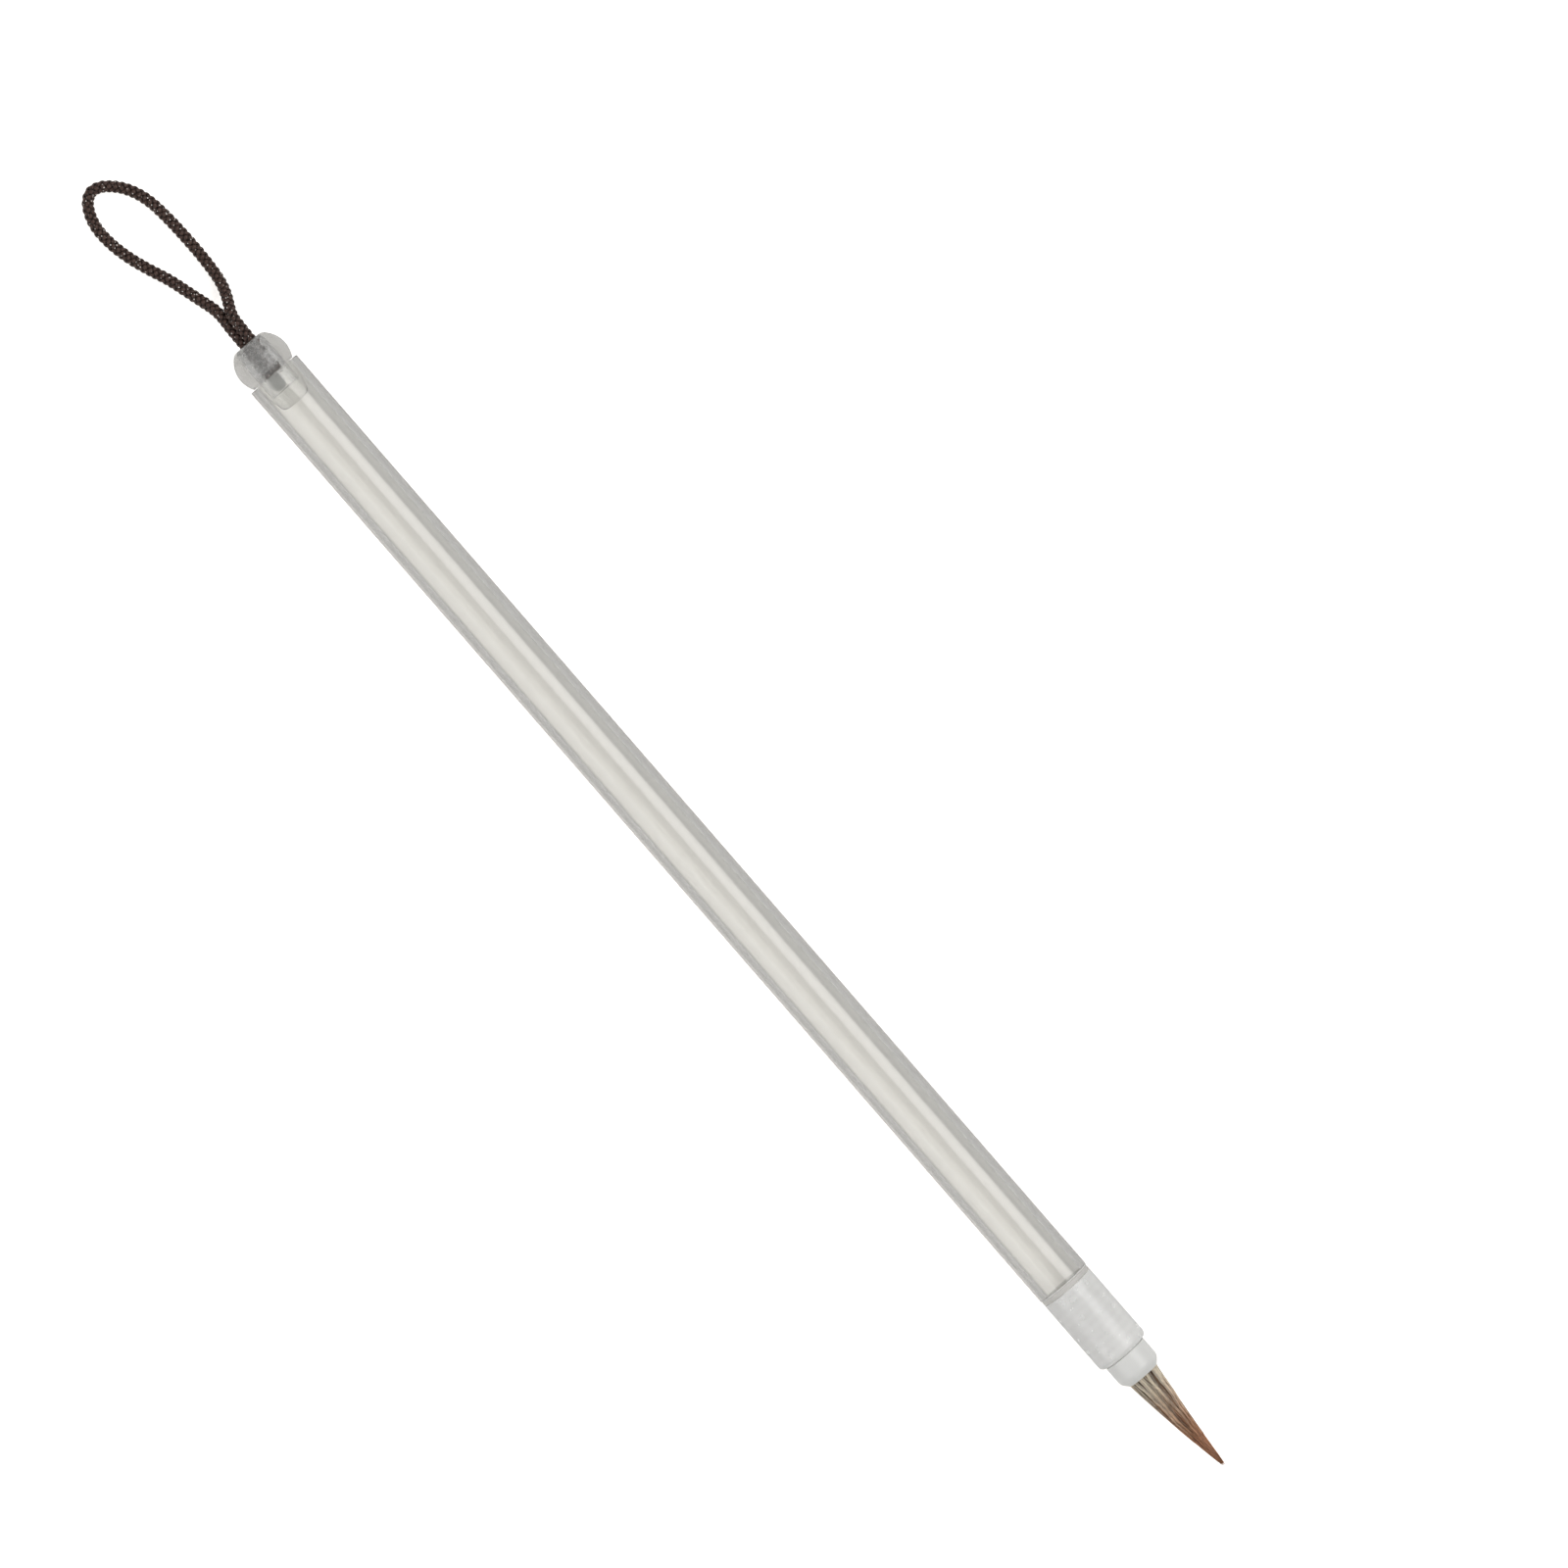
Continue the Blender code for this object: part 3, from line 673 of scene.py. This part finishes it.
wick_back, wick_front = span("feed_wick")
wick = turned(
    "fibre_wick",
    [
        (wick_back, CAP_RADIUS),
        (wick_back, WICK_RADIUS - EDGE),
        (wick_back + EDGE, WICK_RADIUS),
        (wick_front - EDGE, WICK_RADIUS),
        (wick_front, WICK_RADIUS - EDGE),
        (wick_front, CAP_RADIUS),
    ],
    ring=False,
)

# White polypropylene: satin, slightly soft to the light, with a faint moulded grain.
white_pp = new_material("white_polypropylene")
place = add_node(white_pp, "TexCoord", {})
grain = add_node(white_pp, "TexNoise", {"Vector": place.outputs["Object"], "Scale": 5000, "Detail": 2})
satin = add_node(white_pp, "MapRange", {"Value": grain.outputs[0], "To Min": 0.24, "To Max": 0.36})
bump = add_node(white_pp, "Bump", {"Height": grain.outputs[0], "Strength": 0.15, "Distance": 0.02 * MM})
finish_with(
    white_pp,
    add_node(
        white_pp,
        "BsdfPrincipled",
        {
            "Base Color": colour("E6E6E3"),
            "Roughness": satin.outputs[0],
            "Normal": bump.outputs[0],
            "IOR": 1.49,
        },
    ),
)
feed.data.materials.append(white_pp)
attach(feed, "barrel")
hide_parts("feed_plug")

# Bonded polyester fibre: matt, its fibres running along the rod about 0.1 mm apart.
bonded_fibre = new_material("bonded_fibre")
place = add_node(bonded_fibre, "TexCoord", {})
drawn = add_node(bonded_fibre, "Mapping", {"Vector": place.outputs["Object"], "Scale": (0.08, 1, 1)})
fibres = add_node(bonded_fibre, "TexNoise", {"Vector": drawn.outputs[0], "Scale": 9000, "Detail": 2})
tint = blend(bonded_fibre, fibres.outputs[0], "C9C5B8", "F1EEE4")
bump = add_node(bonded_fibre, "Bump", {"Height": fibres.outputs[0], "Strength": 0.6, "Distance": 0.05 * MM})
finish_with(
    bonded_fibre,
    add_node(
        bonded_fibre,
        "BsdfPrincipled",
        {"Base Color": tint, "Roughness": 0.85, "Normal": bump.outputs[0]},
    ),
)
wick.data.materials.append(bonded_fibre)
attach(wick, "barrel")
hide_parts("feed_wick")

# ---------------------------------------------------------------------------------------------------------
# Neck seal: a flat ring of milky silicone. The sleeve squeezes it against the barrel's shoulder, so that
# it bulges out almost level with both.
seal_back, seal_front = span("neck_seal")
SEAL_ROUND = 0.12 * MM
SEAL_BULGE = 0.12 * MM
seal_radius = girth("neck_seal") + SEAL_BULGE
squeeze = 0.8 * GAP  # how far it fills the gap on each side
seal = turned(
    "seal_ring",
    [
        (seal_front + squeeze, NECK_RADIUS + GAP),
        *arc(seal_front + squeeze - SEAL_ROUND, seal_radius - SEAL_ROUND, SEAL_ROUND, 90, 0, 4),
        *arc(seal_back - squeeze + SEAL_ROUND, seal_radius - SEAL_ROUND, SEAL_ROUND, 0, -90, 4),
        (seal_back - squeeze, NECK_RADIUS + GAP),
    ],
)

# Silicone rubber: milky and half see-through, dull to the light, with dust in its skin.
silicone = new_material("milky_silicone")
place = add_node(silicone, "TexCoord", {})
dust = add_node(silicone, "TexNoise", {"Vector": place.outputs["Object"], "Scale": 2500, "Detail": 4})
tint = blend(silicone, dust.outputs[0], "DAD8D4", "F6F4F0")
plastic = add_node(
    silicone,
    "BsdfPrincipled",
    {"Base Color": tint, "Roughness": 0.5, "IOR": 1.41, "Transmission Weight": 0.4},
)
finish_with(silicone, lit_through(silicone, plastic, 0.8, "F2F2F2"))
seal.data.materials.append(silicone)
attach(seal, "neck_seal")
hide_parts("neck_seal")

# ---------------------------------------------------------------------------------------------------------
# Head sleeve: a milky polypropylene ferrule, screwed on to the neck. Its thread runs inside almost to the
# front lip and shows through the wall as soft glints and faint ribs.
sleeve_radius = girth("head_sleeve")
SLEEVE_SOCKET_DEPTH = 13.75 * MM
SLEEVE_FRONT_ROUND = 0.95 * MM
crest_radius = NECK_RADIUS + 0.15 * MM
socket_radius = crest_radius + THREAD_HEIGHT
lip = sleeve_front - SLEEVE_FRONT_ROUND
sleeve = turned(
    "head_sleeve_shell",
    [
        (sleeve_front, crest_radius),
        *arc(lip, sleeve_radius - SLEEVE_FRONT_ROUND, SLEEVE_FRONT_ROUND, 90, 0, 10),
        *arc(sleeve_back + EDGE, sleeve_radius - EDGE, EDGE, 0, -90, 4),
        (sleeve_back, socket_radius + EDGE),
        (sleeve_back + EDGE, socket_radius),
        (sleeve_back + SLEEVE_SOCKET_DEPTH, socket_radius),
        (sleeve_back + SLEEVE_SOCKET_DEPTH, crest_radius),
    ],
)
start = sleeve_back + THREAD_START
fused(sleeve, thread("sleeve_thread", socket_radius, crest_radius, start, SLEEVE_TURNS))

# Milky polypropylene: satin and cloudy, and faintly whiter where the thread thickens the wall behind.
milky_pp = new_material("milky_polypropylene")
place = add_node(milky_pp, "TexCoord", {})
cloud = add_node(milky_pp, "TexNoise", {"Vector": place.outputs["Object"], "Scale": 600, "Detail": 3})
satin = add_node(milky_pp, "MapRange", {"Value": cloud.outputs[0], "To Min": 0.2, "To Max": 0.32})
where = add_node(milky_pp, "SeparateXYZ", {"Vector": place.outputs["Object"]})
rise = add_node(milky_pp, "Math", {0: where.outputs[2], 1: AXIS_HEIGHT}, operation="SUBTRACT")
round_axis = add_node(milky_pp, "Math", {0: rise.outputs[0], 1: where.outputs[1]}, operation="ARCTAN2")
turns_on = math.tau / THREAD_PITCH
advance = add_node(milky_pp, "Math", {0: where.outputs[0], 1: turns_on}, operation="MULTIPLY")
phase = add_node(milky_pp, "Math", {0: advance.outputs[0], 1: round_axis.outputs[0]}, operation="SUBTRACT")
ridge = add_node(milky_pp, "Math", {0: phase.outputs[0]}, operation="COSINE")
RIB_TINT = 0.13  # how much of the tint follows the thread; the rest is cloud
BASE_TINT = 0.2
ribs = add_node(
    milky_pp, "Math", {0: ridge.outputs[0], 1: RIB_TINT, 2: BASE_TINT}, operation="MULTIPLY_ADD"
)
level = add_node(
    milky_pp, "Math", {0: ribs.outputs[0], 1: cloud.outputs[0]}, operation="ADD", use_clamp=True
)
tint = blend(milky_pp, level.outputs[0], "F0EFED", "FFFFFD")
bump = add_node(milky_pp, "Bump", {"Height": ridge.outputs[0], "Strength": 0.05, "Distance": 0.03 * MM})
plastic = add_node(
    milky_pp,
    "BsdfPrincipled",
    {
        "Base Color": tint,
        "Roughness": satin.outputs[0],
        "Normal": bump.outputs[0],
        "IOR": 1.49,
        "Transmission Weight": 0.36,
    },
)
finish_with(milky_pp, lit_through(milky_pp, plastic, 0.6, "F2F2F2"))
sleeve.data.materials.append(milky_pp)
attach(sleeve, "brush_head")
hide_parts("head_sleeve")

# ---------------------------------------------------------------------------------------------------------
# Hair cup: a white collar pressed into the front of the sleeve. Its bore holds the root of the hair, and a
# hole in its floor lets the wick through.
cup_back, cup_mouth = span("hair_cup")
cup_radius = girth("hair_cup")
CUP_NOSE_LENGTH = 1.7 * MM
CUP_NOSE_ROUND = 1.45 * MM
CUP_BORE_RADIUS = 2.95 * MM
CUP_FLOOR = 2.3 * MM
CUP_INK_HOLE_RADIUS = 1.1 * MM
CUP_BEVEL = 0.05 * MM
spigot_radius = crest_radius - GAP
cup = turned(
    "hair_collar",
    [
        (cup_mouth - CUP_BEVEL, CUP_BORE_RADIUS),
        (cup_mouth, CUP_BORE_RADIUS + CUP_BEVEL),
        *arc(cup_mouth - CUP_NOSE_LENGTH, cup_radius - CUP_NOSE_ROUND, CUP_NOSE_ROUND, 45, 0, 8),
        *arc(sleeve_front + GAP + EDGE, cup_radius - EDGE, EDGE, 0, -90, 4),
        (sleeve_front + GAP, spigot_radius),
        (cup_back + EDGE, spigot_radius),
        (cup_back, spigot_radius - EDGE),
        (cup_back, CUP_INK_HOLE_RADIUS),
        (cup_back + CUP_FLOOR, CUP_INK_HOLE_RADIUS),
        (cup_back + CUP_FLOOR, CUP_BORE_RADIUS),
    ],
)
cup.data.materials.append(white_pp)
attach(cup, "brush_head")
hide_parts("hair_cup")

# ---------------------------------------------------------------------------------------------------------
# Root of the hair: three turns of cotton thread bind it, and a disc of amber resin glues it to the cup's
# floor. Both keep their CAD shapes, which nothing but the open head shows.
cotton = new_material("cotton_thread")
place = add_node(cotton, "TexCoord", {})
twist = add_node(cotton, "TexWave", {"Vector": place.outputs["Object"], "Scale": 1500, "Distortion": 1.5})
tint = blend(cotton, twist.outputs[1], "A79E8B", "DCD5C4")
finish_with(cotton, add_node(cotton, "BsdfPrincipled", {"Base Color": tint, "Roughness": 0.9}))
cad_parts["root_binding"].data.materials.clear()
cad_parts["root_binding"].data.materials.append(cotton)

amber_resin = new_material("amber_resin")
place = add_node(amber_resin, "TexCoord", {})
bubbles = add_node(amber_resin, "TexVoronoi", {"Vector": place.outputs["Object"], "Scale": 2500})
tint = blend(amber_resin, bubbles.outputs[0], "8A6A34", "C9A765")
finish_with(
    amber_resin,
    add_node(amber_resin, "BsdfPrincipled", {"Base Color": tint, "Roughness": 0.2, "IOR": 1.55}),
)
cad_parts["root_resin"].data.materials.clear()
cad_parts["root_resin"].data.materials.append(amber_resin)

# ---------------------------------------------------------------------------------------------------------
# Hair: soft taupe cover hairs laid round springy brown ones, which alone reach the point. Dry, they stand
# in wavy clumps, and the whole tuft leans a little to one side at its tip.
tip = span("tuft_core")[1]
root = span("tuft_cover")[0]
shown = tip - cup_mouth
TUFT_RADIUS = 2.87 * MM
TUFT_TIP_RADIUS = 0.27 * MM
TUFT_TAPER = 0.9
TUFT_LEAN = 0.33 * MM
ROOT_RADIUS = 2.1 * MM
FLARE_LENGTH = 4.0 * MM
CLUMP_WAVE = 2.3 * MM
CLUMP_RIPPLE = 0.8 * MM
HAIR_CRIMP = 0.3 * MM


def tuft_radius(from_tip):
    """Radius of the tuft at a distance from its tip; inside the cup it draws in to the bound root."""
    share = np.clip(from_tip / shown, 0, 1)
    free = TUFT_TIP_RADIUS + (TUFT_RADIUS - TUFT_TIP_RADIUS) * share**TUFT_TAPER
    inside = np.clip((from_tip - shown - 0.5 * MM) / FLARE_LENGTH, 0, 1)
    return free + (ROOT_RADIUS - free) * inside * inside * (3 - 2 * inside)


def tuft_middle(from_tip):
    """How far the middle of the tuft lies to the side of the pen's axis."""
    share = np.clip(1 - from_tip / shown, 0, 1)
    return TUFT_LEAN * share**1.3 - 0.12 * MM * np.sin(math.pi * share)


def hairs(name, count, clumps, ends, depth, thickness, waviness, seed):
    """Laid hairs in one mesh: ends says how far from the tip they stop, depth how deep under the surface.
    Hairs keep together in clumps that sway side to side, and some stray from theirs."""
    pick = np.random.default_rng(seed)
    clump_angle = (np.arange(clumps) + pick.uniform(-0.3, 0.3, clumps)) * math.tau / clumps
    clump_phase = pick.uniform(0, math.tau, (clumps, 3))
    clump_rise = pick.uniform(-1, 1, clumps)
    rods = []
    for _ in range(count):
        clump = pick.integers(clumps)
        stray = pick.normal(0, 1.0) * (0.19 if pick.uniform() > 0.1 else 0.8)
        angle = clump_angle[clump] + stray * math.tau / clumps
        end = pick.uniform(*ends) + abs(pick.normal(0, 0.4 * MM))
        from_tip = np.linspace(tip - root, end, 28)
        free = np.clip((shown - from_tip) / shown, 0, 1)
        grown = np.clip((shown + 1.0 * MM - from_tip) / (4 * MM), 0, 1)
        wave = 0.09 * np.sin(from_tip / CLUMP_WAVE + clump_phase[clump, 0])
        wave += 0.035 * np.sin(from_tip / CLUMP_RIPPLE + clump_phase[clump, 1])
        wave += 0.02 * np.sin(from_tip / HAIR_CRIMP + clump_phase[clump, 2] + stray * 4)
        turn = angle + waviness * grown * wave + pick.normal(0, 0.1) * free
        lie = 1 - pick.uniform(*depth) + 0.04 * clump_rise[clump] * grown
        lie = lie - 0.035 * abs(stray) ** 2 * grown
        reach = lie * tuft_radius(from_tip)
        middle = np.stack(
            [
                tip - from_tip,
                tuft_middle(from_tip) + reach * np.cos(turn),
                AXIS_HEIGHT + reach * np.sin(turn),
            ],
            1,
        )
        thick = thickness * (1 - 0.65 * np.linspace(0, 1, len(from_tip)) ** 2)
        corner = turn[:, None] + np.array([0, math.tau / 3, 2 * math.tau / 3])[None]
        ring = np.stack([np.zeros_like(corner), np.cos(corner), np.sin(corner)], 2)
        rods.append(middle[:, None] + thick[:, None, None] * ring)
    return mesh_from_rings(name, rods)


def animal_hair(name, root_dark, root_light, point_dark, point_light):
    """Goat and weasel hair: each hair has its own tone, and the colour warms towards the point."""
    material = new_material(name)
    place = add_node(material, "TexCoord", {})
    along = add_node(material, "SeparateXYZ", {"Vector": place.outputs["Object"]})
    warm_from, warm_to = cup_mouth + 0.1 * shown, cup_mouth + 0.6 * shown
    warm = add_node(
        material, "MapRange", {"Value": along.outputs[0], "From Min": warm_from, "From Max": warm_to}
    )
    which = add_node(material, "UVMap", {}, uv_map="along")
    own = add_node(material, "SeparateXYZ", {"Vector": which.outputs[0]})
    tone = add_node(material, "TexWhiteNoise", {"W": own.outputs[1]}, noise_dimensions="1D")
    drawn = add_node(material, "Mapping", {"Vector": place.outputs["Object"], "Scale": (0.12, 1, 1)})
    patch = add_node(material, "TexNoise", {"Vector": drawn.outputs[0], "Scale": 1800, "Detail": 2})
    mixed = add_node(material, "Math", {0: tone.outputs[0], 1: patch.outputs[0]}, operation="MULTIPLY")
    level = add_node(material, "MapRange", {"Value": mixed.outputs[0], "From Min": 0.08, "From Max": 0.3})
    at_root = blend(material, level.outputs[0], root_dark, root_light)
    at_point = blend(material, level.outputs[0], point_dark, point_light)
    tint = blend(material, warm.outputs[0], at_root, at_point)
    return finish_with(
        material,
        add_node(
            material,
            "BsdfPrincipled",
            {"Base Color": tint, "Roughness": 0.45, "IOR": 1.55},
        ),
    )


POINT_ENDS = (-0.25 * MM, 3.5 * MM)
COVER_ENDS = (5.5 * MM, 13 * MM)
core = hairs("point_hairs", 560, 12, POINT_ENDS, (0.06, 0.16), 0.06 * MM, 0.8, seed=11)
cover = hairs("cover_hairs", 720, 19, COVER_ENDS, (0.0, 0.05), 0.055 * MM, 1.0, seed=23)
core.data.materials.append(animal_hair("weasel_hair", "3A271C", "B5906F", "4E2C1E", "D99C74"))
cover.data.materials.append(animal_hair("goat_hair", "5A4231", "FFF3DC", "5E3824", "F4C29A"))
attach(core, "brush_head")
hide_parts("tuft_core")
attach(cover, "brush_head")
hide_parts("tuft_cover")

# The imported middle of the tuft, which the laid hairs hide. Its hair is painted dark: painted shade for
# the depth between the laid hairs.
BUNDLE_SHARE = 0.84
BUNDLE_INSET = 0.05 * MM
BUNDLE_END = 0.3 * MM
BUNDLE_END_RADIUS = 0.02 * MM
bundle_outline = []
for from_tip in np.linspace(BUNDLE_END, tip - root, 40):
    radius = BUNDLE_SHARE * float(tuft_radius(from_tip)) - BUNDLE_INSET
    bundle_outline.append((tip - from_tip, max(radius, BUNDLE_END_RADIUS)))
bundle = turned("hair_bundle", bundle_outline, ring=False)
for vertex in bundle.data.vertices:
    vertex.co.y += float(tuft_middle(tip - vertex.co.x))
# Painted shade: the packed hair is coloured darker than the laid hairs to stand for the shade inside the
# tuft.
bundle.data.materials.append(animal_hair("packed_hair", "33251B", "54402F", "3E2316", "7A4A32"))
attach(bundle, "brush_head")

# ---------------------------------------------------------------------------------------------------------
# Table, light and air: a white table, a pale sky that is dimmer at the horizon, and two long soft lights
# beside the pen.
bpy.ops.object.select_all(action="DESELECT")
bpy.ops.mesh.primitive_plane_add(size=6, location=(0, 0, 0))
table = bpy.context.object
table.name = "table"

# Matt white laminate, lit from behind where it is looked at directly, like a light table. A band under the
# pen glows: a painted caustic that stands for the light a clear round tube gathers on what it lies on.
white_table = new_material("white_table")
ray = add_node(white_table, "LightPath", {})
place = add_node(white_table, "TexCoord", {})
across = add_node(white_table, "SeparateXYZ", {"Vector": place.outputs["Object"]})
# Painted caustic: the band's edges across the pen, where its glow fades out.
BAND_LEFT = (2.7 * MM, 3.3 * MM)  # where the band fades out
BAND_RIGHT = (-6.4 * MM, -5.4 * MM)
PAINTED_CAUSTIC_STRENGTH = 0.36
TABLE_GLOW = 0.05
GLOW_LOOKED_AT = 0.75
fade, gone = BAND_LEFT
left_edge = add_node(
    white_table,
    "MapRange",
    {"Value": across.outputs[1], "From Min": fade, "From Max": gone, "To Min": 1.0, "To Max": 0.0},
)
gone, fade = BAND_RIGHT
right_edge = add_node(
    white_table, "MapRange", {"Value": across.outputs[1], "From Min": gone, "From Max": fade}
)
edges = {0: left_edge.outputs[0], 1: right_edge.outputs[0]}
painted_caustic_band = add_node(white_table, "Math", edges, operation="MULTIPLY")
painted_caustic_glow = add_node(
    white_table, "Math", {0: painted_caustic_band.outputs[0], 1: PAINTED_CAUSTIC_STRENGTH, 2: TABLE_GLOW}, operation="MULTIPLY_ADD"
)
looked_at = {0: ray.outputs["Is Camera Ray"], 1: GLOW_LOOKED_AT}
direct = add_node(white_table, "Math", looked_at, operation="MULTIPLY")
glow = add_node(white_table, "Math", {0: direct.outputs[0], 1: painted_caustic_glow.outputs[0]}, operation="MAXIMUM")
finish_with(
    white_table,
    add_node(
        white_table,
        "BsdfPrincipled",
        {
            "Base Color": colour("F0F0EF"),
            "Roughness": 0.9,
            "Specular IOR Level": 0.0,
            "Emission Color": colour("FFFCF8"),
            "Emission Strength": glow.outputs[0],
        },
    ),
)
table.data.materials.append(white_table)

world = bpy.data.worlds.new("studio")
bpy.context.scene.world = world
world.use_nodes = True
world.node_tree.nodes.clear()
where = add_node(world, "TexCoord", {})
height = add_node(world, "SeparateXYZ", {"Vector": where.outputs["Generated"]})
air = add_node(
    world,
    "MapRange",
    {"Value": height.outputs[2], "From Min": 0.0, "From Max": 0.8, "To Min": 0.15, "To Max": 0.5},
)
sky = add_node(world, "Background", {"Strength": air.outputs[0]})
add_node(world, "OutputWorld", {"Surface": sky.outputs[0]})

LAMP_DISTANCE = 1.5
LAMP_LENGTH = 1.6
for lamp_name, lean, width, power in (
    ("left_softbox", 36, 1.05, 12.0),
    ("right_strip", -43, 0.25, 0.4),
    ("right_softbox", -58, 1.2, 7.0),
):
    light = bpy.data.lights.new(lamp_name, "AREA")
    light.shape = "RECTANGLE"
    light.size = LAMP_LENGTH
    light.size_y = width
    light.energy = power
    lamp = bpy.data.objects.new(lamp_name, light)
    bpy.context.scene.collection.objects.link(lamp)
    lean = math.radians(lean)
    lamp.location = (0, LAMP_DISTANCE * math.sin(lean), LAMP_DISTANCE * math.cos(lean))
    lamp.rotation_euler = (-lean, 0, 0)

bpy.context.scene.view_settings.view_transform = "Standard"
